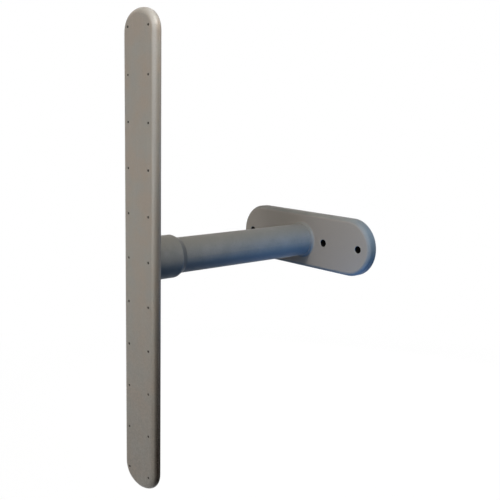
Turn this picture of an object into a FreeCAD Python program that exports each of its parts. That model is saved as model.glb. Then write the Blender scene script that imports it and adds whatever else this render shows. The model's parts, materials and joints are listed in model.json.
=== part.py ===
"""Security gate: a slim antenna panel that turns on a wall-mounted tube arm.

Every piece is drawn in one upright frame: local x is across the panel, local y is up and local z is the
distance from the wall. A piece's Placement stands it at its own distance from the wall, along -Y.
"""
import FreeCAD, Part
import math
import os
import Sketcher

DIMENSIONS = {
    # arm: wall to panel face, tube and collar
    "reach": 497.5,
    "tube_radius": 38.1,
    "tube_wall": 3.2,
    "collar_wall": 7.62,
    "collar_length": 76.5,
    "collar_lip": 0.5,
    "shoulder_length": 15.0,
    "shoulder_rounding": 8.0,
    "web_thickness": 10.0,
    "running_gap": 0.08,
    "seat_gap": 0.05,
    "loose_gap": 0.3,
    # wall plate
    "plate_length": 426.0,
    "plate_height": 133.0,
    "plate_thickness": 24.0,
    "plate_rounding": 9.5,
    "plate_skin": 10.0,
    "plate_rim": 24.5,
    "pocket_corner": 12.0,
    "neck_height": 7.0,
    "neck_lip": 1.0,
    "neck_fillet": 6.0,
    "socket_depth": 16.0,
    "anchor_hole_radius": 8.5,
    "anchor_hole_break": 0.8,
    "anchor_end_margin": 34.0,
    "anchor_tube_margin": 32.9,
    "anchor_boss_radius": 24.0,
    # cable way and its bushes
    "rear_bush_bore": 7.0,
    "rear_bush_radius": 11.0,
    "rear_flange_radius": 14.0,
    "rear_flange_thickness": 2.0,
    "front_bush_bore": 6.0,
    "front_bush_radius": 9.0,
    "front_flange_radius": 11.0,
    "front_flange_thickness": 1.5,
    # plugs in the tube
    "rear_plug_length": 20.0,
    "plug_screw_circle": 25.0,
    "plug_screw_radius": 4.0,
    "plug_screw_head": 7.7,
    "plug_screw_length": 22.0,
    "front_plug_length": 30.0,
    "spigot_radius": 24.0,
    # turning joint
    "washer_thickness": 1.5,
    "disc_radius": 30.4,
    "disc_thickness": 4.0,
    "disc_relief": 3.0,
    "disc_screw_length": 14.0,
    "stop_width": 8.0,
    "small_screw_radius": 2.5,
    "small_screw_head": 4.8,
    "seal_from_mouth": 18.0,
    "seal_width": 3.0,
    "seal_depth": 3.0,
    "lock_screw_radius": 4.0,
    "lock_screw_from_mouth": 29.0,
    "lock_screw_pitch": 18.0,
    "lock_sink": 0.4,
    # hub plate
    "hub_height": 140.0,
    "hub_thickness": 4.0,
    "hub_corner": 8.0,
    "hub_screw_length": 20.0,
    # panel covers
    "panel_length": 1000.0,
    "panel_width": 113.0,
    "panel_thickness": 20.0,
    "panel_corner": 44.0,
    "panel_crown": 75.0,
    "face_rounding": 12.0,
    "back_rounding": 7.0,
    "cover_wall": 2.5,
    "rear_depth": 7.5,
    "rib_thickness": 1.6,
    "rib_height": 4.0,
    "gasket_inset": 0.75,
    "gasket_width": 1.0,
    "gasket_depth": 1.4,
    # cover screws and their posts
    "screw_inset": 20.75,
    "screw_end_margin": 36.0,
    "post_radius": 4.0,
    "cover_screw_radius": 1.5,
    "cover_screw_head": 2.75,
    "cover_head_height": 1.8,
    "cover_head_recess": 2.4,
    "cover_socket": 1.2,
    # aerial loop and its clips
    "coil_inset": 9.0,
    "coil_width": 5.0,
    "coil_height": 5.0,
    "clip_wall": 1.5,
    "clip_length": 10.0,
    # tuning board
    "board_width": 56.0,
    "board_height": 90.0,
    "board_thickness": 1.6,
    "board_corner": 2.0,
    "board_hole_inset": 5.0,
    "standoff_radius": 3.0,
    "standoff_height": 4.0,
    "board_screw_length": 5.0,
    "board_head_height": 1.8,
    "capacitor_radius": 4.0,
    "capacitor_height": 7.0,
    "capacitor_pitch": 12.0,
    "toroid_radius": 10.0,
    "toroid_hole": 5.0,
    "toroid_height": 6.0,
    "terminal_length": 25.0,
    "terminal_width": 9.0,
    "terminal_height": 8.0,
    "terminal_pitch": 5.0,
    "terminal_hole": 1.4,
}
SCREW_ROWS_EACH_WAY = 5
HUB_SCREW_ANGLES = (50.0, 90.0, 130.0, 230.0, 270.0, 310.0)
QUARTER_TURNS = (45.0, 135.0, 225.0, 315.0)
STANDING = FreeCAD.Rotation(FreeCAD.Vector(1, 0, 0), 90)

doc = FreeCAD.newDocument("security_gate")
sheet = doc.addObject("Spreadsheet::Sheet", "Sizes")
for row, (name, amount) in enumerate(DIMENSIONS.items(), start=1):
    sheet.set("A%d" % row, name)
    sheet.set("B%d" % row, str(amount))
    sheet.setAlias("B%d" % row, name)
doc.recompute()


class Size:
    """A length: its value now, and the expression over the sheet that gives it."""

    def __init__(self, value, text):
        self.value = float(value)
        self.text = text

    @staticmethod
    def of(item):
        return item if isinstance(item, Size) else Size(item, repr(float(item)))

    def joined(self, sign, other, value):
        return Size(value, "(%s %s %s)" % (self.text, sign, other.text))

    def __add__(self, other):
        other = Size.of(other)
        return self.joined("+", other, self.value + other.value)

    def __sub__(self, other):
        other = Size.of(other)
        return self.joined("-", other, self.value - other.value)

    def __mul__(self, other):
        other = Size.of(other)
        return self.joined("*", other, self.value * other.value)

    def __truediv__(self, other):
        other = Size.of(other)
        return self.joined("/", other, self.value / other.value)

    def __neg__(self):
        return self * -1


class Sizes:
    """The sheet's values by name, each as a Size."""

    def __getattr__(self, alias):
        return Size(DIMENSIONS[alias], "Sizes." + alias)


S = Sizes()
NOWHERE = Size.of(0)

# distances from the wall
PANEL_BACK = S.reach - S.panel_thickness
FLOOR = PANEL_BACK + S.cover_wall
SEAM = PANEL_BACK + S.rear_depth
WEB_INSIDE = PANEL_BACK - S.web_thickness
TUBE_FRONT = WEB_INSIDE - S.washer_thickness
TUBE_REAR = S.plate_thickness - S.socket_depth
COLLAR_MOUTH = PANEL_BACK - S.collar_length
DISC_BACK = PANEL_BACK + S.washer_thickness
DISC_FRONT = DISC_BACK + S.disc_thickness
HUB_FRONT = FLOOR + S.hub_thickness
CEILING = S.reach - S.cover_wall
SCREW_SEAT = S.reach - S.cover_head_recess
COVER_SCREW_LENGTH = SCREW_SEAT - FLOOR - S.loose_gap
BOARD_BACK = FLOOR + S.standoff_height
BOARD_FRONT = BOARD_BACK + S.board_thickness

# radii about the arm's axis
TUBE_BORE = S.tube_radius - S.tube_wall
TUBE_SEAT = S.tube_radius + S.seat_gap
COLLAR_BORE = S.tube_radius + S.running_gap
COLLAR_RADIUS = COLLAR_BORE + S.collar_wall
SEAL_GROOVE = COLLAR_BORE + S.seal_depth
WEB_BORE = S.spigot_radius + S.running_gap
CABLE_WAY = S.front_bush_radius - 1
DISC_CORE = S.disc_radius - S.disc_relief
HUB_HOLE = S.disc_radius + S.loose_gap * 2
HUB_SCREW_CIRCLE = (COLLAR_BORE + COLLAR_RADIUS) / 2
DISC_SCREW_CIRCLE = (CABLE_WAY + S.spigot_radius) / 2

# places on the panel and the plate
ROW_PITCH = (S.panel_length / 2 - S.screw_end_margin) / SCREW_ROWS_EACH_WAY
COLUMN = S.panel_width / 2 - S.screw_inset
COIL_INSIDE = S.panel_width / 2 - S.coil_inset - S.coil_width
CLIP_REACH = S.clip_wall + S.seat_gap
HUB_WIDTH = (COIL_INSIDE - CLIP_REACH + S.seat_gap) * 2
BOARD_CENTRE = ROW_PITCH * -2.5
ANCHOR_OUTER = S.plate_length / 2 - S.anchor_end_margin
ANCHOR_INNER = S.tube_radius + S.anchor_tube_margin


def on_circle(radius, degrees):
    """The point at this angle, as bound coordinates."""
    return (radius * math.cos(math.radians(degrees)), radius * math.sin(math.radians(degrees)))


def around(radius, angles):
    return [on_circle(radius, degrees) for degrees in angles]


def cover_screw_spots(rows):
    return [(COLUMN * side, ROW_PITCH * row) for row in rows for side in (-1, 1)]


def clip_rows():
    """Clips and ribs stand half-way between the screw rows, clear of the hub."""
    halves = [row + 0.5 for row in range(1, SCREW_ROWS_EACH_WAY)]
    return [side * half for half in halves for side in (-1, 1)]


def board_hole_spots():
    across = S.board_width / 2 - S.board_hole_inset
    up = S.board_height / 2 - S.board_hole_inset
    return [(across * side, BOARD_CENTRE + up * end) for side in (-1, 1) for end in (-1, 1)]


OUTER_ROWS = [row for row in range(-SCREW_ROWS_EACH_WAY, SCREW_ROWS_EACH_WAY + 1) if row != 0]
ALL_ROWS = OUTER_ROWS + [0]


# ---- sketch helpers ----

def origin_plane(body, role):
    return [item for item in body.Origin.OriginFeatures if item.Role == role][0]


def new_body(label):
    body = doc.addObject("PartDesign::Body", label)
    body.Label = label
    return body


def stand(item, station):
    """Stand a piece upright with its local zero at this distance from the wall."""
    item.Placement = FreeCAD.Placement(FreeCAD.Vector(0, -station.value, 0), STANDING)
    item.setExpression("Placement.Base.y", (-station).text)


def new_sketch(body, name, height=None, plane="XY_Plane"):
    sketch = body.newObject("Sketcher::SketchObject", body.Name + "_" + name)
    sketch.AttachmentSupport = [(origin_plane(body, plane), "")]
    sketch.MapMode = "FlatFace"
    if height is not None:
        sketch.setExpression("AttachmentOffset.Base.z", height.text)
    return sketch


def bind(sketch, kind, targets, size):
    number = sketch.addConstraint(Sketcher.Constraint(kind, *targets, size.value))
    sketch.setExpression("Constraints[%d]" % number, size.text)


def pin(sketch, item, point, x, y):
    """Bind a point where a Size is given; a plain 0 is the axis, and any other number is left to solve."""
    for place, kind, axis in ((x, "DistanceX", -2), (y, "DistanceY", -1)):
        if isinstance(place, Size):
            bind(sketch, kind, (-1, 1, item, point), place)
        elif place == 0:
            sketch.addConstraint(Sketcher.Constraint("PointOnObject", item, point, axis))


def near(place):
    return Size.of(place).value


def add_circle(sketch, x, y, radius):
    centre = FreeCAD.Vector(near(x), near(y), 0)
    item = sketch.addGeometry(Part.Circle(centre, FreeCAD.Vector(0, 0, 1), radius.value), False)
    pin(sketch, item, 3, x, y)
    bind(sketch, "Radius", (item,), radius)


def add_polygon(sketch, corners):
    points = [FreeCAD.Vector(near(x), near(y), 0) for x, y in corners]
    first = None
    for start, end in zip(points, points[1:] + points[:1]):
        item = sketch.addGeometry(Part.LineSegment(start, end), False)
        first = item if first is None else first
    for number, (x, y) in enumerate(corners):
        follower = (number + 1) % len(corners)
        sketch.addConstraint(Sketcher.Constraint("Coincident", first + number, 2, first + follower, 1))
        pin(sketch, first + number, 1, x, y)


def add_loop(sketch, bends):
    """A closed smooth loop of arcs (x, y, radius, start, end); lines join arcs whose ends are apart."""
    arcs = []
    for x, y, radius, start, end in bends:
        centre = FreeCAD.Vector(near(x), near(y), 0)
        circle = Part.Circle(centre, FreeCAD.Vector(0, 0, 1), radius.value)
        arcs.append(Part.ArcOfCircle(circle, math.radians(start), math.radians(end)))
    chain = []
    for arc, follower, (x, y, radius, start, end) in zip(arcs, arcs[1:] + arcs[:1], bends):
        item = sketch.addGeometry(arc, False)
        chain.append(item)
        pin(sketch, item, 3, x, y)
        bind(sketch, "Radius", (item,), radius)
        if arc.EndPoint.distanceToPoint(follower.StartPoint) > 0.001:
            line = Part.LineSegment(arc.EndPoint, follower.StartPoint)
            chain.append(sketch.addGeometry(line, False))
    for item, follower in zip(chain, chain[1:] + chain[:1]):
        sketch.addConstraint(Sketcher.Constraint("Tangent", item, 2, follower, 1))


def add_rounded_rectangle(sketch, x, y, width, height, corner):
    across = width / 2 - corner
    up = height / 2 - corner
    bends = []
    for side, end, start in ((1, 1, 0), (-1, 1, 90), (-1, -1, 180), (1, -1, 270)):
        bends.append((x + across * side, y + up * end, corner, start, start + 90))
    add_loop(sketch, bends)


def add_panel_outline(sketch, inset):
    """Straight sides, and at each end two corners with a flatter crown between them."""
    corner = S.panel_corner - inset
    crown = S.panel_crown - inset
    side = S.panel_width / 2 - S.panel_corner
    crown_y = S.panel_length / 2 - S.panel_crown
    rise = math.sqrt((crown.value - corner.value) ** 2 - side.value ** 2)
    corner_y = crown_y.value + rise
    lean = math.degrees(math.atan2(rise, side.value))
    add_loop(sketch, [
        (side, corner_y, corner, 0, lean),
        (0, crown_y, crown, lean, 180 - lean),
        (-side, corner_y, corner, 180 - lean, 180),
        (-side, -corner_y, corner, 180, 180 + lean),
        (0, -crown_y, crown, 180 + lean, 360 - lean),
        (side, -corner_y, corner, 360 - lean, 360),
    ])


# ---- feature helpers ----

def add_pad(body, sketch, length, both_ways=False):
    pad = body.newObject("PartDesign::Pad", sketch.Name + "_pad")
    pad.Profile = sketch
    pad.setExpression("Length", length.text)
    pad.Midplane = both_ways
    doc.recompute()
    return pad


def add_pocket(body, sketch, length, outward=False):
    """A pocket towards the wall, or outward from it; it has to take material away."""
    before = body.Shape.Volume
    pocket = body.newObject("PartDesign::Pocket", sketch.Name + "_pocket")
    pocket.Profile = sketch
    pocket.setExpression("Length", length.text)
    pocket.Reversed = outward
    doc.recompute()
    if not pocket.Shape.Volume < before:
        raise RuntimeError("%s cuts nothing" % pocket.Name)
    return pocket


def add_turned(body, name, profile):
    """A turned piece: the profile's points are (radius, height)."""
    sketch = new_sketch(body, name, plane="XZ_Plane")
    add_polygon(sketch, profile)
    turned = body.newObject("PartDesign::Revolution", sketch.Name + "_turned")
    turned.Profile = sketch
    turned.ReferenceAxis = (sketch, ["V_Axis"])
    turned.Angle = 360
    doc.recompute()
    return turned


def edges_at(feature, height, radius=None):
    """Names of the feature's edges that lie flat at this height, of one radius if given."""
    names = []
    for number, edge in enumerate(feature.Shape.Edges, start=1):
        box = edge.BoundBox
        flat = abs(box.ZMin - height.value) < 0.01 and abs(box.ZMax - height.value) < 0.01
        if flat and radius is not None:
            flat = isinstance(edge.Curve, Part.Circle) and abs(edge.Curve.Radius - radius.value) < 0.01
        if flat:
            names.append("Edge%d" % number)
    return names


def add_fillet(body, height, size, radius=None, base=None):
    return dress(body, "Fillet", "Radius", height, size, radius, base)


def add_chamfer(body, height, size, radius=None, base=None):
    return dress(body, "Chamfer", "Size", height, size, radius, base)


def dress(body, kind, measure, height, size, radius, base):
    base = base or body.Tip
    feature = body.newObject("PartDesign::" + kind, "%s_%s" % (base.Name, kind.lower()))
    feature.Base = (base, edges_at(base, height, radius))
    feature.setExpression(measure, size.text)
    doc.recompute()
    return feature


def hollow_out(body, open_height):
    """Turn the body's slab into a shell of the cover's wall, open at the flat face at this height."""
    base = body.Tip
    faces = []
    for number, face in enumerate(base.Shape.Faces, start=1):
        box = face.BoundBox
        if abs(box.ZMin - open_height.value) < 0.01 and abs(box.ZMax - open_height.value) < 0.01:
            faces.append("Face%d" % number)
    shell = body.newObject("PartDesign::Thickness", base.Name + "_shell")
    shell.Base = (base, faces)
    shell.setExpression("Value", S.cover_wall.text)
    shell.Mode = "Skin"
    shell.Join = "Arc"
    shell.Reversed = True
    doc.recompute()
    return shell


def drill(body, name, spots, radius, height, depth, outward=False):
    """Round holes at these spots, from this height."""
    sketch = new_sketch(body, name, height)
    for x, y in spots:
        add_circle(sketch, x, y, radius)
    return add_pocket(body, sketch, depth, outward)


def raise_posts(body, name, spots, radius, height, length):
    sketch = new_sketch(body, name, height)
    for x, y in spots:
        add_circle(sketch, x, y, radius)
    return add_pad(body, sketch, length)


def add_ring(body, name, outer, inner, height, length):
    sketch = new_sketch(body, name, height)
    add_circle(sketch, 0, 0, outer)
    add_circle(sketch, 0, 0, inner)
    return add_pad(body, sketch, length)


def gather(label, template, station, spots, turn=None):
    """One node of equal pieces: a link to the template at every (x, y, z) spot."""
    links = []
    for number, spot in enumerate(spots, start=1):
        link = doc.addObject("App::Link", "%s_%d" % (label, number))
        link.LinkedObject = template
        link.Placement = FreeCAD.Placement(FreeCAD.Vector(0, 0, 0), turn or FreeCAD.Rotation())
        for axis, place in zip("xyz", spot):
            link.setExpression("Placement.Base." + axis, place.text)
        links.append(link)
    node = doc.addObject("Part::Compound", label)
    node.Label = label
    node.Links = links
    stand(node, station)
    doc.recompute()
    return node


def flat(spots):
    return [(x, y, NOWHERE) for x, y in spots]


# ---- the arm: what stays on the wall ----

def build_wall_plate():
    body = new_body("wall_plate")
    outline = new_sketch(body, "outline")
    end_radius = S.plate_height / 2
    end = S.plate_length / 2 - end_radius
    add_loop(outline, [(end, 0, end_radius, -90, 90), (-end, 0, end_radius, 90, 270)])
    slab = add_pad(body, outline, S.plate_thickness)
    add_fillet(body, S.plate_thickness, S.plate_rounding, base=slab)
    neck_radius = TUBE_SEAT + S.neck_lip
    raise_posts(body, "neck", [(0, 0)], neck_radius, S.plate_thickness, S.neck_height)
    add_fillet(body, S.plate_thickness, S.neck_fillet, radius=neck_radius)
    drill(body, "socket", [(0, 0)], TUBE_SEAT, TUBE_REAR, S.socket_depth + S.neck_height, outward=True)
    drill(body, "cable_way", [(0, 0)], S.rear_bush_radius + S.seat_gap, NOWHERE, TUBE_REAR, outward=True)
    drill(body, "flange_seat", [(0, 0)], S.rear_flange_radius + S.seat_gap, NOWHERE,
          S.rear_flange_thickness, outward=True)
    anchors = [(place * side, 0) for place in (ANCHOR_INNER, ANCHOR_OUTER) for side in (-1, 1)]
    drill(body, "anchors", anchors, S.anchor_hole_radius, NOWHERE, S.plate_thickness, outward=True)
    add_chamfer(body, S.plate_thickness, S.anchor_hole_break, radius=S.anchor_hole_radius)
    screw_hole = S.plug_screw_radius + S.loose_gap
    drill(body, "screw_holes", around(S.plug_screw_circle, QUARTER_TURNS), screw_hole, NOWHERE,
          TUBE_REAR, outward=True)
    add_chamfer(body, NOWHERE, S.plug_screw_head - S.plug_screw_radius, radius=screw_hole)
    relief = new_sketch(body, "relief", NOWHERE)
    length = ANCHOR_OUTER - ANCHOR_INNER - S.anchor_boss_radius * 2
    for side in (-1, 1):
        centre = (ANCHOR_INNER + ANCHOR_OUTER) / 2 * side
        add_rounded_rectangle(relief, centre, NOWHERE, length, S.plate_height - S.plate_rim * 2, S.pocket_corner)
    depth = S.plate_thickness - S.plate_skin
    add_pocket(body, relief, depth, outward=True)
    stand(body, NOWHERE)
    return body


def build_bush(label, station, bore, radius, length, flange, flange_thickness, flange_first):
    """A round bush with a flange at its wall end or at its far end."""
    body = new_body(label)
    near_radius = flange if flange_first else radius
    far_radius = radius if flange_first else flange
    step = flange_thickness if flange_first else length - flange_thickness
    add_turned(body, "profile", [
        (bore, 0), (near_radius, 0), (near_radius, step), (far_radius, step), (far_radius, length), (bore, length),
    ])
    stand(body, station)
    return body


def build_rear_bush():
    return build_bush("rear_bush", NOWHERE, S.rear_bush_bore, S.rear_bush_radius, TUBE_REAR,
                      S.rear_flange_radius, S.rear_flange_thickness, flange_first=True)


def build_front_bush():
    length = S.disc_thickness + S.front_flange_thickness
    return build_bush("front_bush", DISC_BACK, S.front_bush_bore, S.front_bush_radius, length,
                      S.front_flange_radius, S.front_flange_thickness, flange_first=False)


def build_rear_plug():
    body = new_body("rear_plug")
    add_ring(body, "disc", TUBE_BORE - S.seat_gap, CABLE_WAY, NOWHERE, S.rear_plug_length)
    drill(body, "threads", around(S.plug_screw_circle, QUARTER_TURNS), S.plug_screw_radius + S.seat_gap,
          NOWHERE, S.rear_plug_length, outward=True)
    stand(body, TUBE_REAR)
    return body


def countersunk_screw(label, radius, head, length):
    """A template: its head's flat top lies at height 0 and its shank points at the wall."""
    body = new_body(label)
    cone = head - radius
    add_turned(body, "profile", [(0, 0), (head, 0), (radius, -cone), (radius, -length), (0, -length)])
    return body


def build_plug_screws():
    template = countersunk_screw("plug_screw", S.plug_screw_radius, S.plug_screw_head, S.plug_screw_length)
    about_face = FreeCAD.Rotation(FreeCAD.Vector(1, 0, 0), 180)
    return gather("plug_screws", template, NOWHERE, flat(around(S.plug_screw_circle, QUARTER_TURNS)), about_face)


def build_arm_tube():
    body = new_body("arm_tube")
    add_ring(body, "section", S.tube_radius, TUBE_BORE, NOWHERE, TUBE_FRONT - TUBE_REAR)
    stand(body, TUBE_REAR)
    return body


def build_front_plug():
    body = new_body("front_plug")
    spigot_top = S.front_plug_length + S.web_thickness + S.washer_thickness * 2
    outside = TUBE_BORE - S.seat_gap
    add_turned(body, "profile", [
        (CABLE_WAY, 0), (outside, 0), (outside, S.front_plug_length), (S.spigot_radius, S.front_plug_length),
        (S.spigot_radius, spigot_top), (CABLE_WAY, spigot_top),
    ])
    drill(body, "threads", around(DISC_SCREW_CIRCLE, QUARTER_TURNS), S.small_screw_radius + S.seat_gap,
          spigot_top, S.disc_screw_length)
    stand(body, TUBE_FRONT - S.front_plug_length)
    return body


def build_washer(label, station, outside):
    body = new_body(label)
    add_ring(body, "section", outside, S.spigot_radius + S.loose_gap, NOWHERE, S.washer_thickness)
    stand(body, station)
    return body


def build_retaining_disc():
    """A round core with a lobe below it, whose two ends are the stops of the turn."""
    body = new_body("retaining_disc")
    core = new_sketch(body, "core")
    add_circle(core, 0, 0, DISC_CORE)
    add_pad(body, core, S.disc_thickness)
    lobe = new_sketch(body, "lobe")
    chord = S.stop_width / 2 + S.loose_gap
    dip = math.asin(chord.value / S.disc_radius.value)
    rim = Part.Circle(FreeCAD.Vector(0, 0, 0), FreeCAD.Vector(0, 0, 1), S.disc_radius.value)
    arc = Part.ArcOfCircle(rim, math.pi + dip, 2 * math.pi - dip)
    lobe.addGeometry([arc, Part.LineSegment(arc.EndPoint, arc.StartPoint)], False)
    lobe.addConstraint(Sketcher.Constraint("Coincident", 0, 3, -1, 1))
    lobe.addConstraint(Sketcher.Constraint("Coincident", 0, 2, 1, 1))
    lobe.addConstraint(Sketcher.Constraint("Coincident", 1, 2, 0, 1))
    lobe.addConstraint(Sketcher.Constraint("Horizontal", 1))
    bind(lobe, "Radius", (0,), S.disc_radius)
    bind(lobe, "DistanceY", (-1, 1, 1, 1), -chord)
    add_pad(body, lobe, S.disc_thickness)
    drill(body, "bush_hole", [(0, 0)], S.front_bush_radius + S.seat_gap, S.disc_thickness, S.disc_thickness)
    screw_hole = S.small_screw_radius + S.loose_gap
    drill(body, "screw_holes", around(DISC_SCREW_CIRCLE, QUARTER_TURNS), screw_hole, S.disc_thickness,
          S.disc_thickness)
    add_chamfer(body, S.disc_thickness, S.small_screw_head - S.small_screw_radius, radius=screw_hole)
    stand(body, DISC_BACK)
    return body


# ---- the panel: what turns ----

def lock_screw_heights():
    return [S.lock_screw_from_mouth, S.lock_screw_from_mouth + S.lock_screw_pitch]


def build_arm_collar():
    body = new_body("arm_collar")
    web = S.collar_length - S.web_thickness
    groove_end = S.seal_from_mouth + S.seal_width
    turned = add_turned(body, "profile", [
        (COLLAR_BORE, 0), (COLLAR_BORE + S.collar_lip, 0), (COLLAR_RADIUS, S.shoulder_length),
        (COLLAR_RADIUS, S.collar_length), (WEB_BORE, S.collar_length), (WEB_BORE, web), (COLLAR_BORE, web),
        (COLLAR_BORE, groove_end), (SEAL_GROOVE, groove_end), (SEAL_GROOVE, S.seal_from_mouth),
        (COLLAR_BORE, S.seal_from_mouth),
    ])
    add_fillet(body, S.shoulder_length, S.shoulder_rounding, radius=COLLAR_RADIUS, base=turned)
    drill(body, "threads", around(HUB_SCREW_CIRCLE, HUB_SCREW_ANGLES), S.small_screw_radius + S.seat_gap,
          S.collar_length, S.hub_screw_length)
    locks = new_sketch(body, "lock_holes", plane="XZ_Plane")
    for height in lock_screw_heights():
        add_circle(locks, 0, height, S.lock_screw_radius + S.seat_gap)
    underside = add_pocket(body, locks, COLLAR_RADIUS, outward=True)
    if underside.Shape.isInside(FreeCAD.Vector(0, -HUB_SCREW_CIRCLE.value, S.lock_screw_from_mouth.value), 0.01, True):
        raise RuntimeError("the lock holes are not in the collar's underside")
    stand(body, COLLAR_MOUTH)
    return body


def build_collar_seal():
    body = new_body("collar_seal")
    add_ring(body, "section", SEAL_GROOVE - S.seat_gap, S.tube_radius + S.loose_gap, NOWHERE, S.seal_width)
    stand(body, COLLAR_MOUTH + S.seal_from_mouth)
    return body


def build_lock_screws():
    template = new_body("lock_screw")
    inner = S.tube_radius + S.loose_gap
    length = COLLAR_RADIUS - S.lock_sink - inner
    add_turned(template, "profile", [(0, 0), (S.lock_screw_radius, 0), (S.lock_screw_radius, length), (0, length)])
    downward = FreeCAD.Rotation(FreeCAD.Vector(1, 0, 0), 90)
    spots = [(NOWHERE, -inner, height) for height in lock_screw_heights()]
    return gather("lock_screws", template, COLLAR_MOUTH, spots, downward)


def build_hub_plate():
    body = new_body("hub_plate")
    outline = new_sketch(body, "outline")
    add_rounded_rectangle(outline, NOWHERE, NOWHERE, HUB_WIDTH, S.hub_height, S.hub_corner)
    add_circle(outline, 0, 0, HUB_HOLE)
    add_pad(body, outline, S.hub_thickness)
    tooth = new_sketch(body, "tooth")
    tip = DISC_CORE + S.loose_gap
    half = S.stop_width / 2
    root = HUB_HOLE + S.hub_thickness / 2
    add_polygon(tooth, [(-half, tip), (half, tip), (half, root), (-half, root)])
    add_pad(body, tooth, S.hub_thickness)
    screw_hole = S.small_screw_radius + S.loose_gap
    drill(body, "screw_holes", around(HUB_SCREW_CIRCLE, HUB_SCREW_ANGLES), screw_hole, S.hub_thickness,
          S.hub_thickness)
    add_chamfer(body, S.hub_thickness, S.small_screw_head - S.small_screw_radius, radius=screw_hole)
    drill(body, "cover_threads", cover_screw_spots([0]), S.cover_screw_radius + S.seat_gap, S.hub_thickness,
          S.hub_thickness)
    stand(body, FLOOR)
    return body


def build_small_screws(label, template, station, spots):
    return gather(label, template, station, flat(spots))


def build_rear_cover():
    body = new_body("rear_cover")
    outline = new_sketch(body, "outline")
    add_panel_outline(outline, NOWHERE)
    slab = add_pad(body, outline, S.rear_depth)
    add_fillet(body, NOWHERE, S.back_rounding, base=slab)
    hollow_out(body, S.rear_depth)
    groove = new_sketch(body, "gasket_groove", S.rear_depth)
    add_panel_outline(groove, S.gasket_inset)
    add_panel_outline(groove, S.gasket_inset + S.gasket_width)
    add_pocket(body, groove, S.gasket_depth)
    ribs = new_sketch(body, "ribs", S.cover_wall)
    half_rib = COIL_INSIDE - CLIP_REACH - S.loose_gap
    for row in clip_rows():
        low = ROW_PITCH * row - S.rib_thickness / 2
        high = ROW_PITCH * row + S.rib_thickness / 2
        add_polygon(ribs, [(-half_rib, low), (half_rib, low), (half_rib, high), (-half_rib, high)])
    add_pad(body, ribs, S.rib_height)
    boss_length = CEILING - FLOOR
    raise_posts(body, "bosses", cover_screw_spots(OUTER_ROWS), S.post_radius, S.cover_wall, boss_length)
    raise_posts(body, "standoffs", board_hole_spots(), S.standoff_radius, S.cover_wall, S.standoff_height)
    pilot = S.cover_screw_radius + S.seat_gap
    drill(body, "pilots", cover_screw_spots(OUTER_ROWS), pilot, S.cover_wall, boss_length, outward=True)
    drill(body, "board_pilots", board_hole_spots(), pilot, S.cover_wall, S.standoff_height, outward=True)
    drill(body, "hub_hole", [(0, 0)], HUB_HOLE, S.cover_wall, S.cover_wall)
    drill(body, "hub_screw_holes", around(HUB_SCREW_CIRCLE, HUB_SCREW_ANGLES),
          S.small_screw_radius + S.loose_gap, S.cover_wall, S.cover_wall)
    stand(body, PANEL_BACK)
    return body


def build_front_cover():
    body = new_body("front_cover")
    depth = S.panel_thickness - S.rear_depth
    ceiling = depth - S.cover_wall
    outline = new_sketch(body, "outline")
    add_panel_outline(outline, NOWHERE)
    slab = add_pad(body, outline, depth)
    add_fillet(body, depth, S.face_rounding, base=slab)
    hollow_out(body, NOWHERE)
    hub_face = HUB_FRONT - SEAM
    raise_posts(body, "hub_posts", cover_screw_spots([0]), S.post_radius, hub_face, ceiling - hub_face)
    drill(body, "screw_holes", cover_screw_spots(ALL_ROWS), S.cover_screw_radius + S.loose_gap, depth,
          depth - hub_face)
    drill(body, "head_recesses", cover_screw_spots(ALL_ROWS), S.cover_screw_head + S.loose_gap, depth,
          S.cover_head_recess)
    stand(body, SEAM)
    return body


def build_cover_gasket():
    body = new_body("cover_gasket")
    section = new_sketch(body, "section")
    add_panel_outline(section, S.gasket_inset + S.seat_gap)
    add_panel_outline(section, S.gasket_inset + S.gasket_width - S.seat_gap)
    add_pad(body, section, S.gasket_depth)
    stand(body, SEAM - S.gasket_depth)
    return body


def headed_screw(label, radius, length, head, head_height):
    """A template: the head's underside lies at height 0 and the shank points at the wall."""
    body = new_body(label)
    add_turned(body, "profile", [
        (0, -length), (radius, -length), (radius, 0), (head, 0), (head, head_height), (0, head_height),
    ])
    return body


def cut_hex_socket(body, radius, top, depth):
    sketch = new_sketch(body, "socket", top)
    add_polygon(sketch, around(radius, [60 * number for number in range(6)]))
    return add_pocket(body, sketch, depth)


def build_cover_screws():
    template = headed_screw("cover_screw", S.cover_screw_radius, COVER_SCREW_LENGTH, S.cover_screw_head,
                            S.cover_head_height)
    cut_hex_socket(template, S.cover_socket, S.cover_head_height, S.cover_head_height / 2)
    return gather("cover_screws", template, SCREW_SEAT, flat(cover_screw_spots(ALL_ROWS)))


def build_antenna_coil():
    body = new_body("antenna_coil")
    section = new_sketch(body, "section")
    add_panel_outline(section, S.coil_inset)
    add_panel_outline(section, S.coil_inset + S.coil_width)
    add_pad(body, section, S.coil_height)
    stand(body, FLOOR)
    return body


def build_coil_clips():
    template = new_body("coil_clip")
    inner = S.coil_width / 2 + S.seat_gap
    outer = inner + S.clip_wall
    roof = S.coil_height + S.clip_wall
    section = new_sketch(template, "section", plane="XZ_Plane")
    add_polygon(section, [
        (-outer, 0), (-inner, 0), (-inner, S.coil_height), (inner, S.coil_height), (inner, 0), (outer, 0),
        (outer, roof), (-outer, roof),
    ])
    add_pad(template, section, S.clip_length, both_ways=True)
    across = COIL_INSIDE + S.coil_width / 2
    spots = [(across * side, ROW_PITCH * row, NOWHERE) for row in clip_rows() for side in (-1, 1)]
    return gather("coil_clips", template, FLOOR, spots)


def build_tuning_board():
    body = new_body("tuning_board")
    outline = new_sketch(body, "outline")
    add_rounded_rectangle(outline, NOWHERE, BOARD_CENTRE, S.board_width, S.board_height, S.board_corner)
    for x, y in board_hole_spots():
        add_circle(outline, x, y, S.cover_screw_radius + S.loose_gap)
    add_pad(body, outline, S.board_thickness)
    stand(body, BOARD_BACK)
    return body


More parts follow.
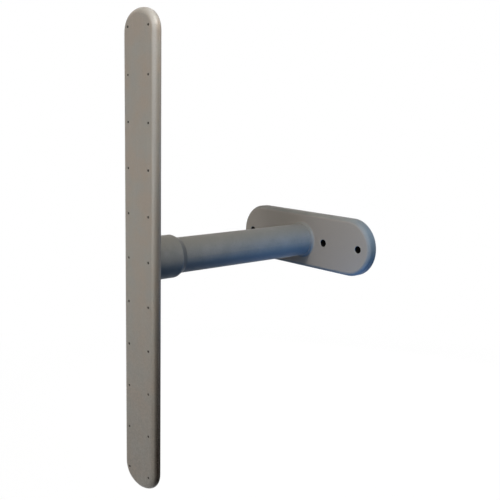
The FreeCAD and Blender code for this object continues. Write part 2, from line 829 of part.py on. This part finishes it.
def build_board_screws():
    template = headed_screw("board_screw", S.cover_screw_radius, S.board_screw_length, S.cover_screw_head,
                            S.board_head_height)
    return gather("board_screws", template, BOARD_FRONT, flat(board_hole_spots()))


def build_board_capacitors():
    template = doc.addObject("Part::Cylinder", "capacitor")
    template.setExpression("Radius", S.capacitor_radius.text)
    template.setExpression("Height", S.capacitor_height.text)
    spots = [(S.capacitor_pitch * (number - 1.5), BOARD_CENTRE - S.capacitor_pitch, NOWHERE) for number in range(4)]
    return gather("board_capacitors", template, BOARD_FRONT, spots)


def build_board_toroid():
    body = new_body("board_toroid")
    section = new_sketch(body, "section")
    centre = BOARD_CENTRE + S.capacitor_pitch / 2
    for radius in (S.toroid_radius, S.toroid_hole):
        add_circle(section, 0, centre, radius)
    add_pad(body, section, S.toroid_height)
    stand(body, BOARD_FRONT)
    return body


def build_terminal_block():
    body = new_body("terminal_block")
    top = BOARD_CENTRE + S.board_height / 2 - S.board_hole_inset * 2
    low = top - S.terminal_width
    half = S.terminal_length / 2
    outline = new_sketch(body, "outline")
    add_polygon(outline, [(-half, low), (half, low), (half, top), (-half, top)])
    add_pad(body, outline, S.terminal_height)
    wells = [(S.terminal_pitch * number, (low + top) / 2) for number in (-2, -1, 0, 1, 2)]
    drill(body, "screw_wells", wells, S.terminal_hole, S.terminal_height, S.terminal_height / 2)
    stand(body, BOARD_FRONT)
    return body


def build_all():
    plug_side_washer = S.tube_radius - S.loose_gap
    disc_screw = countersunk_screw("disc_screw", S.small_screw_radius, S.small_screw_head, S.disc_screw_length)
    hub_screw = countersunk_screw("hub_screw", S.small_screw_radius, S.small_screw_head, S.hub_screw_length)
    return [
        build_wall_plate(), build_rear_bush(), build_rear_plug(), build_plug_screws(), build_arm_tube(),
        build_front_plug(), build_washer("thrust_washer", TUBE_FRONT, plug_side_washer),
        build_washer("friction_washer", PANEL_BACK, S.disc_radius - S.washer_thickness),
        build_retaining_disc(),
        build_small_screws("disc_screws", disc_screw, DISC_FRONT, around(DISC_SCREW_CIRCLE, QUARTER_TURNS)),
        build_front_bush(), build_arm_collar(), build_collar_seal(), build_lock_screws(), build_hub_plate(),
        build_small_screws("hub_screws", hub_screw, HUB_FRONT, around(HUB_SCREW_CIRCLE, HUB_SCREW_ANGLES)),
        build_rear_cover(), build_cover_gasket(), build_front_cover(), build_cover_screws(),
        build_antenna_coil(), build_coil_clips(), build_tuning_board(), build_board_screws(),
        build_board_capacitors(), build_board_toroid(), build_terminal_block(),
    ]


nodes = build_all()
doc.recompute()
for item in doc.Objects:
    if "Invalid" in item.State or "Error" in item.State:
        raise RuntimeError("%s did not recompute: %s" % (item.Name, item.State))
for node in nodes:
    if node.Shape.isNull() or not node.Shape.isValid():
        raise RuntimeError("%s has no valid shape" % node.Label)
os.makedirs("parts", exist_ok=True)
for node in nodes:
    node.Shape.exportStep("parts/%s.step" % node.Label)
    print("%-18s %2d solid(s) %12.1f mm3" % (node.Label, len(node.Shape.Solids), node.Shape.Volume))
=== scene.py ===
"""The looks of a wall-mounted security gate: its coated arm, its moulded panel and the parts inside them.

Every length is in metres and every colour is linear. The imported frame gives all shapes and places.
"""

import json
import math

import bpy
from mathutils import Matrix, Vector


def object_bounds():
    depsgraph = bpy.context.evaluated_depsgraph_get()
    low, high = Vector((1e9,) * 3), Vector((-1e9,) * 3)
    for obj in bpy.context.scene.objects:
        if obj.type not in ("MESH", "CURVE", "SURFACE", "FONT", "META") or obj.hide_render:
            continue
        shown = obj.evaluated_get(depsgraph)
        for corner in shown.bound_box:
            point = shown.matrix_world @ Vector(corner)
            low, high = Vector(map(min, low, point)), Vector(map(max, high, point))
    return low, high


MILLIMETRE = 0.001

# camera
CAMERA_PLACE = Vector((1.319867, -1.366437, 0.307467))
CAMERA_HEADING = math.radians(48.344)
CAMERA_DROP = math.radians(10.18)
CAMERA_ROLL = math.radians(1.316)
CAMERA_SENSOR = 36.0
CAMERA_LENS = 56.06

# surroundings
FLOOR_DROP = 0.42
FLOOR_HALF_WIDTH = 30.0
FLOOR_COLOUR = (0.06, 0.06, 0.06, 1.0)
FLOOR_GLOW = 0.96
FLOOR_FADE_START = 1.0
FLOOR_FADE_END = 2.6
SKY_HIGH = (0.04, 0.04, 0.04, 1.0)
SKY_LOW = (0.03, 0.03, 0.033, 1.0)
WHITE = (1.0, 1.0, 1.0, 1.0)

# walls of the wall plate's anchor holes: a near-black painted shade, and how far off the stated radius a
# facet may lie
BORE_SHADE_COLOUR = (0.006, 0.006, 0.006)
BORE_TOLERANCE = 0.0002

# darkening and painted light on the panel: the height from its middle where each begins, and where it is
# full
# where the panel turns darker in blotches towards the bottom
LOW_DARKENING_HEIGHTS = (0.05, -0.45)
# where the panel's sides get painted shade
SIDE_SHADE_HEIGHTS = (0.22, -0.42)
# where the panel's roundings get a painted highlight
HIGHLIGHT_HEIGHTS = (-0.05, 0.20)

# radians by which a wave texture of scale 1 turns its phase over one unit of length
WAVE_PHASE = 20.0

# lamps: place, point looked at, width, height, watts, colour
LAMPS = {
    "front_softbox": ((0.68, -4.14, 2.25), (0.0, -0.30, 0.0), 1.4, 1.4, 76.0, (1.0, 0.94, 0.87)),
    "near_softbox": ((-0.09, -1.30, 0.0), (0.0, -0.45, 0.0), 0.5, 0.7, 2.9, (1.0, 1.0, 0.97)),
    "top_softbox": ((0.41, -0.56, 0.87), (0.03, -0.35, 0.0), 0.25, 0.25, 5.6, (1.0, 0.97, 0.92)),
    "key_softbox": ((1.17, -2.10, 0.75), (0.0, -0.45, 0.20), 0.4, 0.4, 5.0, (0.78, 0.90, 1.0)),
    "plate_softbox": ((0.34, -0.05, 0.16), (0.08, -0.05, 0.0), 0.12, 0.12, 0.34, (0.22, 0.54, 1.0)),
    "wall_bounce": ((0.25, -0.10, -0.20), (0.05, -0.15, 0.0), 0.12, 0.12, 0.42, (0.18, 0.46, 1.0)),
    "back_fill": ((-1.30, 1.70, 0.10), (0.0, -0.30, 0.0), 1.4, 1.4, 52.0, (1.0, 0.98, 0.95)),
}


def feed(tree, socket, value):
    """Links a socket to the one given, or sets it to a plain value."""
    if isinstance(value, bpy.types.NodeSocket):
        tree.links.new(value, socket)
    else:
        socket.default_value = value


def add_node(tree, kind, inputs, output=0, **settings):
    """Adds a node fed with sockets or plain values, and returns one of its outputs."""
    made = tree.nodes.new(kind)
    for name, value in settings.items():
        setattr(made, name, value)
    for key, value in inputs.items():
        feed(tree, made.inputs[key], value)
    return made.outputs[output]


def scaled(colour, red, green, blue):
    """A colour with each of its channels scaled by itself."""
    return Vector((colour.x * red, colour.y * green, colour.z * blue))


class Surface:
    """A node material: one Principled shader and the procedural textures that feed it."""

    def __init__(self, name, colour, roughness, **sockets):
        self.material = bpy.data.materials.new(name)
        self.material.use_nodes = True
        self.tree = self.material.node_tree
        self.shader = self.tree.nodes["Principled BSDF"]
        coordinates = self.tree.nodes.new("ShaderNodeTexCoord").outputs
        self.place = coordinates["Object"]
        self.normal = coordinates["Normal"]
        self.shader.inputs["Base Color"].default_value = (*colour, 1.0)
        self.shader.inputs["Roughness"].default_value = roughness
        for socket, value in sockets.items():
            self.shader.inputs[socket.replace("_", " ")].default_value = value

    def node(self, kind, inputs, output=0, **settings):
        """Adds a node to this material, and returns one of its outputs."""
        return add_node(self.tree, kind, inputs, output, **settings)

    def stretched(self, stretch):
        """The object's own coordinates, with each axis scaled."""
        return self.node("ShaderNodeMapping", {"Vector": self.place, "Scale": stretch})

    def noise(self, grain, detail=3.0, stretch=(1, 1, 1)):
        """Noise whose blotches are about one grain wide."""
        inputs = {"Vector": self.stretched(stretch), "Scale": 1 / grain, "Detail": detail}
        return self.node("ShaderNodeTexNoise", inputs, "Fac")

    def cells(self, grain):
        """The distance from the middle of the cell that a point lies in, in cells about one grain wide."""
        return self.node("ShaderNodeTexVoronoi", {"Vector": self.place, "Scale": 1 / grain}, "Distance")

    def bands(self, pitch, direction, distortion=0.0):
        """Parallel bands across one axis, a pitch apart."""
        inputs = {"Vector": self.place, "Scale": math.tau / WAVE_PHASE / pitch, "Distortion": distortion}
        return self.node("ShaderNodeTexWave", inputs, "Fac", bands_direction=direction)

    def rings(self, pitch, direction, distortion=0.0):
        """Rings about one axis, a pitch apart, as a lathe leaves them."""
        inputs = {"Vector": self.place, "Scale": math.tau / WAVE_PHASE / pitch, "Distortion": distortion}
        return self.node("ShaderNodeTexWave", inputs, "Fac", wave_type="RINGS", rings_direction=direction)

    def product(self, first, second):
        return self.node("ShaderNodeMath", {0: first, 1: second}, operation="MULTIPLY")

    def larger(self, first, second):
        return self.node("ShaderNodeMath", {0: first, 1: second}, operation="MAXIMUM")

    def unsigned(self, value):
        return self.node("ShaderNodeMath", {0: value}, operation="ABSOLUTE")

    def between(self, value, start, end, low=0.0, high=1.0):
        """The value's stretch from start to end spread over low to high, and clamped."""
        inputs = {"Value": value, "From Min": start, "From Max": end, "To Min": low, "To Max": high}
        return self.node("ShaderNodeMapRange", inputs, "Result")

    def window(self, value, start, full, fade, end):
        """0 up to start, 1 from full to fade, and 0 again from end on."""
        return self.product(self.between(value, start, full), self.between(value, end, fade))

    def tint(self, share, first, second):
        """One colour turning into another as share goes from 0 to 1."""
        mix = self.tree.nodes.new("ShaderNodeMix")
        mix.data_type = "RGBA"
        feed(self.tree, mix.inputs["Factor"], share)
        for key, value in (("A", first), ("B", second)):
            socket = [s for s in mix.inputs if s.name == key and s.type == "RGBA"][0]
            feed(self.tree, socket, value if isinstance(value, bpy.types.NodeSocket) else (*value, 1.0))
        return [s for s in mix.outputs if s.type == "RGBA"][0]

    def worn_edges(self, radius):
        """1 on the crisp edges that handling rubs bright, 0 elsewhere."""
        softened = self.node("ShaderNodeBevel", {"Radius": radius}, "Normal", samples=6)
        true = self.node("ShaderNodeNewGeometry", {}, "Normal")
        match = self.node("ShaderNodeVectorMath", {0: softened, 1: true}, "Value", operation="DOT_PRODUCT")
        return self.between(match, 0.985, 0.90)

    def height(self):
        """How far up its own Z axis a point lies from the arm's axis, in metres."""
        return self.node("ShaderNodeSeparateXYZ", {"Vector": self.place}, "Z")

    def facing(self, axis):
        """1 where the surface faces along one axis, -1 where it faces against it."""
        return self.node("ShaderNodeSeparateXYZ", {"Vector": self.normal}, axis)

    def colour(self, value):
        feed(self.tree, self.shader.inputs["Base Color"], value)

    def roughness(self, value):
        feed(self.tree, self.shader.inputs["Roughness"], value)

    def reflectance(self, value):
        feed(self.tree, self.shader.inputs["Specular IOR Level"], value)

    def relief(self, *layers):
        """Fine relief from pairs of height texture and depth in metres, laid over each other."""
        inputs = {}
        for height, depth in layers:
            normal = self.node("ShaderNodeBump", {**inputs, "Height": height, "Distance": depth}, "Normal")
            inputs = {"Normal": normal}
        feed(self.tree, self.shader.inputs["Normal"], normal)


def coated_metal(name, colour):
    """Powder coat: pebbled satin, a dull film on top, lighter facing front, painted shade and blue painted
    reflection below, painted shade on rounds facing the wall.
    """
    surface = Surface(name, colour, 0.46, Specular_IOR_Level=0.06)
    base = Vector(colour)
    blotches = surface.between(surface.noise(0.045, 4), 0.35, 0.65)
    body = surface.tint(blotches, base * 0.93, base * 1.06)
    smudges = surface.between(surface.noise(0.016, 6), 0.50, 0.72, 0.0, 0.55)
    body = surface.tint(smudges, body, base * 0.84)
    flecks = surface.between(surface.noise(0.0012, 2), 0.54, 0.70, 0.0, 0.50)
    body = surface.tint(flecks, body, base * 1.35)
    pits = surface.between(surface.noise(0.0016, 2), 0.42, 0.30, 0.0, 0.60)
    body = surface.tint(pits, body, base * 0.66)
    settled = surface.product(surface.between(surface.facing("Z"), 0.35, 0.95),
                              surface.between(surface.noise(0.010, 5), 0.20, 0.60, 0.7, 1.0))
    body = surface.tint(settled, body, scaled(base, 0.94, 0.91, 0.86))
    # lighter on faces turned to the front
    lighter_to_front = surface.between(surface.facing("Y"), -0.85, -0.98)
    body = surface.tint(lighter_to_front, body, scaled(base, 1.18, 1.09, 1.04))
    # painted shade and a blue painted reflection on faces turned downwards
    painted_underside_shade = surface.between(surface.facing("Z"), -0.02, -0.55)
    body = surface.tint(painted_underside_shade, body, scaled(base, 0.56, 0.68, 0.83))
    body = surface.tint(surface.worn_edges(0.0006), body, base * 1.12)
    # painted shade on rounds that face the wall, such as the collar's shoulder
    painted_shade = surface.window(surface.facing("Y"), 0.25, 0.65, 0.85, 0.97)
    surface.colour(surface.tint(painted_shade, body, base * 0.18))
    surface.roughness(surface.between(surface.noise(0.02, 5), 0.3, 0.7, 0.41, 0.54))
    surface.relief((surface.noise(0.0026, 2), 0.00022), (surface.noise(0.0008, 1), 0.00004))
    return surface.material


def moulded_cover(name, colour):
    """A moulded cover: fine grain, blotches, wipe marks, a painted highlight high up, darker towards the
    bottom, painted shade on the sides low down.
    """
    surface = Surface(name, colour, 0.38)
    base = Vector(colour)
    warm = scaled(base, 1.06, 0.985, 0.93)
    cool = scaled(base, 0.955, 1.01, 1.03)
    body = surface.tint(surface.between(surface.noise(0.055, 3), 0.38, 0.62), cool, warm)
    wiped = surface.noise(0.012, 5, stretch=(1, 1, 0.12))
    body = surface.tint(surface.between(wiped, 0.50, 0.78, 0.0, 0.45), body, base * 1.14)
    # darker in blotches towards the bottom
    darker_low = surface.product(surface.between(surface.height(), *LOW_DARKENING_HEIGHTS, 0.0, 0.95),
                           surface.between(surface.noise(0.004, 6), 0.32, 0.66))
    body = surface.tint(darker_low, body, base * 0.76)
    sideways = surface.unsigned(surface.facing("X"))
    # a painted highlight on the roundings high up, pale and cool
    painted_highlight = surface.product(surface.window(sideways, 0.15, 0.45, 0.80, 0.98),
                             surface.between(surface.height(), *HIGHLIGHT_HEIGHTS))
    body = surface.tint(painted_highlight, body, scaled(base, 1.20, 1.27, 1.36))
    # painted shade on the sides low down
    painted_shade = surface.product(surface.between(surface.height(), *SIDE_SHADE_HEIGHTS),
                            surface.between(sideways, 0.62, 0.96))
    body = surface.tint(painted_shade, body, scaled(base, 0.18, 0.15, 0.13))
    scuffs = surface.between(surface.noise(0.0022, 5, stretch=(1, 1, 0.03)), 0.62, 0.72, 0.0, 0.45)
    body = surface.tint(scuffs, body, base * 1.28)
    specks = surface.between(surface.noise(0.0010, 2), 0.56, 0.72, 0.0, 0.50)
    body = surface.tint(specks, body, base * 1.30)
    pores = surface.between(surface.noise(0.0013, 2), 0.42, 0.30, 0.0, 0.60)
    body = surface.tint(pores, body, base * 0.70)
    surface.colour(surface.tint(surface.worn_edges(0.0009), body, base * 1.4))
    # less reflective where the sides have painted shade
    surface.reflectance(surface.between(painted_shade, 0.0, 1.0, 0.40, 0.03))
    surface.roughness(surface.between(wiped, 0.3, 0.7, 0.32, 0.44))
    surface.relief((surface.noise(0.0013, 3), 0.00012), (surface.noise(0.03, 2), 0.00030))
    return surface.material


def oxide_steel(name, colour):
    """Black-oxide steel: near black, brown in places, bright where the driver has rubbed."""
    surface = Surface(name, colour, 0.42, Metallic=0.2, Specular_IOR_Level=0.2)
    base = Vector(colour)
    body = surface.tint(surface.noise(0.0015, 4), base, scaled(base, 2.1, 1.6, 1.3))
    surface.colour(surface.tint(surface.worn_edges(0.0003), body, (0.10, 0.095, 0.09)))
    surface.roughness(surface.between(surface.noise(0.0006, 3), 0.3, 0.7, 0.32, 0.55))
    surface.relief((surface.noise(0.0003, 3), 0.00001))
    return surface.material


def shaded_bore_wall(name, colour):
    """The wall of a drilled hole: matt, ringed by the drill, and near black with painted shade."""
    surface = Surface(name, colour, 0.85, Specular_IOR_Level=0.02)
    base = Vector(colour)
    rings = surface.bands(0.0012, "Y", 0.6)
    # near-black painted shade, ringed by the drill
    surface.colour(surface.tint(rings, base * 0.7, base * 1.4))
    surface.roughness(surface.between(surface.noise(0.002, 3), 0.3, 0.7, 0.78, 0.92))
    surface.relief((rings, 0.00002))
    return surface.material


def zinc_plate(name, colour):
    """Zinc plate: pale blue-grey crystals with a faint yellow passivation."""
    surface = Surface(name, colour, 0.34, Metallic=1.0)
    base = Vector(colour)
    body = surface.tint(surface.cells(0.004), base * 0.82, scaled(base, 1.1, 1.07, 0.98))
    surface.colour(surface.tint(surface.noise(0.02, 3), body, base))
    surface.roughness(surface.between(surface.noise(0.0025, 4), 0.3, 0.7, 0.25, 0.45))
    surface.relief((surface.noise(0.0008, 3), 0.00001))
    return surface.material


def turned_metal(name, colour):
    """Turned alloy: fine rings about the arm's axis."""
    surface = Surface(name, colour, 0.30, Metallic=1.0, Anisotropic=0.4)
    base = Vector(colour)
    rings = surface.rings(0.0006, "Y", 0.4)
    surface.colour(surface.tint(rings, base * 0.88, base * 1.06))
    surface.roughness(surface.between(surface.noise(0.006, 4), 0.3, 0.7, 0.22, 0.40))
    surface.relief((rings, 0.00002), (surface.noise(0.0004, 2), 0.000005))
    return surface.material


def rolled_sheet(name, colour):
    """Rolled sheet: long thin drawing lines up the plate."""
    surface = Surface(name, colour, 0.38, Metallic=1.0)
    base = Vector(colour)
    lines = surface.noise(0.0009, 4, stretch=(1, 1, 0.03))
    surface.colour(surface.tint(lines, base * 0.80, base * 1.12))
    surface.roughness(surface.between(lines, 0.3, 0.7, 0.28, 0.48))
    surface.relief((lines, 0.00002))
    return surface.material


def soft_rubber(name, colour):
    """Matt black rubber with a dusty bloom."""
    surface = Surface(name, colour, 0.72, Specular_IOR_Level=0.35)
    base = Vector(colour)
    bloom = surface.between(surface.noise(0.006, 5), 0.45, 0.75, 0.0, 0.6)
    surface.colour(surface.tint(bloom, base, base * 2.6))
    surface.roughness(surface.between(surface.noise(0.003, 3), 0.3, 0.7, 0.62, 0.82))
    surface.relief((surface.noise(0.0005, 3), 0.00003))
    return surface.material


def natural_plastic(name, colour):
    """Undyed plastic: milky, light passing a little way in, with faint flow marks."""
    surface = Surface(name, colour, 0.38, Subsurface_Weight=0.15, Subsurface_Scale=0.002)
    base = Vector(colour)
    flow = surface.noise(0.008, 3, stretch=(1, 1, 0.3))
    surface.colour(surface.tint(flow, base * 0.94, base * 1.03))
    surface.roughness(surface.between(flow, 0.3, 0.7, 0.32, 0.46))
    surface.relief((surface.noise(0.0007, 2), 0.00001))
    return surface.material


def wound_wire(name, colour):
    """Enamelled wire laid side by side, with a wrap of pale tape at intervals."""
    surface = Surface(name, colour, 0.28, Metallic=0.55, Coat_Weight=0.5)
    base = Vector(colour)
    turns = surface.product(surface.bands(0.0008, "Y"), surface.bands(0.0008, "X"))
    wire = surface.tint(turns, base * 0.45, base * 1.25)
    tape = surface.between(surface.bands(0.060, "Z"), 0.93, 0.95)
    surface.colour(surface.tint(tape, wire, (0.55, 0.50, 0.36)))
    surface.roughness(surface.between(tape, 0.0, 1.0, 0.26, 0.60))
    surface.relief((turns, 0.0001), (tape, 0.0001))
    return surface.material


def circuit_board(name, colour):
    """Solder mask over copper: tracks show as a lighter relief, with tinned pads between them."""
    surface = Surface(name, colour, 0.26, Coat_Weight=0.4)
    base = Vector(colour)
    across = surface.between(surface.bands(0.0050, "X", 1.5), 0.70, 0.76)
    upward = surface.between(surface.bands(0.0075, "Z", 2.0), 0.74, 0.80)
    tracks = surface.larger(across, upward)
    mask = surface.tint(tracks, base, base * 1.9)
    pads = surface.between(surface.cells(0.0052), 0.16, 0.13)
    surface.colour(surface.tint(pads, mask, (0.60, 0.58, 0.52)))
    surface.roughness(surface.between(surface.noise(0.01, 3), 0.3, 0.7, 0.20, 0.34))
    surface.relief((tracks, 0.00004), (pads, 0.00005))
    return surface.material


def dipped_resin(name, colour):
    """A glossy dipped coat that pools unevenly."""
    surface = Surface(name, colour, 0.20, Coat_Weight=0.6)
    base = Vector(colour)
    surface.colour(surface.tint(surface.noise(0.003, 3), base * 0.8, base * 1.25))
    surface.roughness(surface.between(surface.noise(0.002, 3), 0.3, 0.7, 0.14, 0.30))
    surface.relief((surface.noise(0.003, 2), 0.00015))
    return surface.material


def coated_ferrite(name, colour):
    """Painted ferrite: matt, with the pressed grain showing through."""
    surface = Surface(name, colour, 0.60)
    base = Vector(colour)
    grain = surface.cells(0.0007)
    surface.colour(surface.tint(grain, base * 0.75, base * 1.5))
    surface.roughness(surface.between(surface.noise(0.001, 3), 0.3, 0.7, 0.52, 0.70))
    surface.relief((grain, 0.00003))
    return surface.material


def moulded_terminal(name, colour):
    """A small moulding with a fine mould grain and a parting band."""
    surface = Surface(name, colour, 0.44)
    base = Vector(colour)
    surface.colour(surface.tint(surface.noise(0.002, 4), base * 0.88, base * 1.15))
    surface.roughness(surface.between(surface.noise(0.001, 3), 0.3, 0.7, 0.36, 0.52))
    surface.relief((surface.noise(0.0005, 3), 0.00002), (surface.bands(0.0050, "X"), 0.00008))
    return surface.material


FINISHES = {
    "painted_arm": (coated_metal, (0.236, 0.234, 0.220)),
    "cover_shell": (moulded_cover, (0.231, 0.210, 0.184)),
    "dark_screw": (oxide_steel, (0.014, 0.012, 0.011)),
    "zinc_screw": (zinc_plate, (0.60, 0.60, 0.58)),
    "turned_alloy": (turned_metal, (0.70, 0.71, 0.72)),
    "hub_steel": (rolled_sheet, (0.55, 0.56, 0.57)),
    "bush_rubber": (soft_rubber, (0.018, 0.018, 0.018)),
    "washer_plastic": (natural_plastic, (0.78, 0.76, 0.70)),
    "clip_plastic": (natural_plastic, (0.80, 0.79, 0.75)),
    "coil_winding": (wound_wire, (0.50, 0.17, 0.06)),
    "board_laminate": (circuit_board, (0.020, 0.120, 0.050)),
    "capacitor_case": (dipped_resin, (0.42, 0.11, 0.04)),
    "ferrite_core": (coated_ferrite, (0.060, 0.062, 0.066)),
    "terminal_plastic": (moulded_terminal, (0.040, 0.190, 0.360)),
}


def finish_nodes(frame):
    """Gives every CAD node the material of its slot in the record."""
    made = {slot: make(slot, colour) for slot, (make, colour) in FINISHES.items()}
    for subpart in frame["record"]["subparts"]:
        node = frame["nodes"][subpart["node"]]
        node.data.materials.clear()
        node.data.materials.append(made[subpart["material_slot"]])
        for face in node.data.polygons:
            face.material_index = 0


def paint_bore_shade(frame):
    """Gives the walls of the wall plate's anchor holes a near-black painted shade."""
    plate = frame["nodes"]["wall_plate"]
    plate.data.materials.append(shaded_bore_wall("anchor_bore_shade", BORE_SHADE_COLOUR))
    patterns = [mount["dims"] for mount in frame["record"]["mounts"] if mount["kind"] == "bolt_pattern"]
    for face in plate.data.polygons:
        for pattern in patterns:
            across = abs(face.center.x) - pattern["spacing_x_mm"] / 2 * MILLIMETRE
            if math.hypot(across, face.center.z) < pattern["hole_r_mm"] * MILLIMETRE + BORE_TOLERANCE:
                face.material_index = 1


def seen_ray(tree):
    """1 for a ray that shows the surroundings: straight, mirrored or through glass."""
    path = tree.nodes.new("ShaderNodeLightPath")
    seen = path.outputs["Is Camera Ray"]
    for kind in ("Is Glossy Ray", "Is Transmission Ray"):
        seen = add_node(tree, "ShaderNodeMath", {0: seen, 1: path.outputs[kind]}, operation="MAXIMUM")
    return seen


def floor_material():
    """Pale near the object, where it takes the soft shadow, and plain white further out."""
    material = bpy.data.materials.new("floor")
    material.use_nodes = True
    tree = material.node_tree
    shader = tree.nodes["Principled BSDF"]
    shader.inputs["Base Color"].default_value = FLOOR_COLOUR
    shader.inputs["Roughness"].default_value = 1.0
    shader.inputs["Specular IOR Level"].default_value = 0.0
    seen = seen_ray(tree)
    glow = add_node(tree, "ShaderNodeMath", {0: seen, 1: FLOOR_GLOW}, operation="MULTIPLY")
    near_glow = add_node(tree, "ShaderNodeEmission", {"Color": WHITE, "Strength": glow})
    near = add_node(tree, "ShaderNodeAddShader", {0: shader.outputs["BSDF"], 1: near_glow})
    far = add_node(tree, "ShaderNodeEmission", {"Color": WHITE, "Strength": 1.0})
    place = tree.nodes.new("ShaderNodeTexCoord").outputs["Object"]
    level = add_node(tree, "ShaderNodeVectorMath", {0: place, 1: (1.0, 1.0, 0.0)}, operation="MULTIPLY")
    distance = add_node(tree, "ShaderNodeVectorMath", {0: level}, "Value", operation="LENGTH")
    fade = add_node(tree, "ShaderNodeMapRange", {
        "Value": distance, "From Min": FLOOR_FADE_START, "From Max": FLOOR_FADE_END,
    }, interpolation_type="SMOOTHSTEP")
    share = add_node(tree, "ShaderNodeMath", {0: fade, 1: seen}, operation="MULTIPLY")
    floor = add_node(tree, "ShaderNodeMixShader", {"Fac": share, 1: near, 2: far})
    tree.links.new(floor, tree.nodes["Material Output"].inputs["Surface"])
    return material


def add_floor(level):
    """A wide level square that only the render needs."""
    half = FLOOR_HALF_WIDTH
    square = [(-half, -half, level), (half, -half, level), (half, half, level), (-half, half, level)]
    mesh = bpy.data.meshes.new("floor")
    mesh.from_pydata(square, [], [(0, 1, 2, 3)])
    mesh.materials.append(floor_material())
    floor = bpy.data.objects.new("floor", mesh)
    bpy.context.scene.collection.objects.link(floor)


def light_world():
    """A white background, and a faint light that is brighter from above and bluer from below."""
    world = bpy.data.worlds.new("surroundings")
    world.use_nodes = True
    bpy.context.scene.world = world
    tree = world.node_tree
    direction = tree.nodes.new("ShaderNodeTexCoord").outputs["Generated"]
    upward = add_node(tree, "ShaderNodeSeparateXYZ", {"Vector": direction}, "Z")
    share = add_node(tree, "ShaderNodeMapRange", {"Value": upward, "From Min": 0.0, "From Max": 0.9})
    low = add_node(tree, "ShaderNodeBackground", {"Color": SKY_LOW, "Strength": 1.0})
    high = add_node(tree, "ShaderNodeBackground", {"Color": SKY_HIGH, "Strength": 1.0})
    sky = add_node(tree, "ShaderNodeMixShader", {"Fac": share, 1: low, 2: high})
    white = add_node(tree, "ShaderNodeBackground", {"Color": WHITE, "Strength": 1.0})
    shown = add_node(tree, "ShaderNodeMixShader", {"Fac": seen_ray(tree), 1: sky, 2: white})
    tree.links.new(shown, tree.nodes["World Output"].inputs["Surface"])


def add_lamp(name, place, target, width, height, watts, colour):
    """A softbox that lights the object but isn't seen itself."""
    lamp = bpy.data.lights.new(name, "AREA")
    lamp.shape = "RECTANGLE"
    lamp.size = width
    lamp.size_y = height
    lamp.energy = watts
    lamp.color = colour
    stand = bpy.data.objects.new(name, lamp)
    stand.visible_camera = False
    bpy.context.scene.collection.objects.link(stand)
    stand.location = place
    stand.rotation_euler = (Vector(target) - Vector(place)).to_track_quat("-Z", "Y").to_euler()


def add_camera():
    """A camera turned by heading, drop and roll, in that order."""
    level = math.cos(CAMERA_DROP)
    north, east = math.cos(CAMERA_HEADING), -math.sin(CAMERA_HEADING)
    forward = Vector((east * level, north * level, -math.sin(CAMERA_DROP)))
    right = forward.cross(Vector((0, 0, 1))).normalized()
    up = right.cross(forward)
    rolled_right = right * math.cos(CAMERA_ROLL) + up * math.sin(CAMERA_ROLL)
    rolled_up = up * math.cos(CAMERA_ROLL) - right * math.sin(CAMERA_ROLL)
    turn = Matrix((rolled_right, rolled_up, -forward)).transposed().to_4x4()
    lens = bpy.data.cameras.new("camera")
    lens.sensor_width = CAMERA_SENSOR
    lens.lens = CAMERA_LENS
    camera = bpy.data.objects.new("camera", lens)
    bpy.context.scene.collection.objects.link(camera)
    camera.matrix_world = Matrix.Translation(CAMERA_PLACE) @ turn
    bpy.context.scene.camera = camera


def corners(bounds):
    """The lowest and the highest corner as plain lists."""
    return [[float(length) for length in corner] for corner in bounds]


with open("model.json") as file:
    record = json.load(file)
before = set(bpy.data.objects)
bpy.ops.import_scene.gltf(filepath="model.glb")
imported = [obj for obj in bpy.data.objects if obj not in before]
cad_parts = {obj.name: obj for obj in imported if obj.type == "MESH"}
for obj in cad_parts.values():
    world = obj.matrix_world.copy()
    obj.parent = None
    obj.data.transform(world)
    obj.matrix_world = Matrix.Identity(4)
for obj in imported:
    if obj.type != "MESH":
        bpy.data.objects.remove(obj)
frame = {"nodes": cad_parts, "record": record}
cad_bounds = corners(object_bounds())
finish_nodes(frame)
paint_bore_shade(frame)
add_floor(cad_bounds[0][2] - FLOOR_DROP)
light_world()
for name, lamp in LAMPS.items():
    add_lamp(name, *lamp)
bpy.data.objects["back_fill"].visible_glossy = False  # no glints along the top edges
add_camera()
bpy.context.scene.view_settings.view_transform = "Standard"
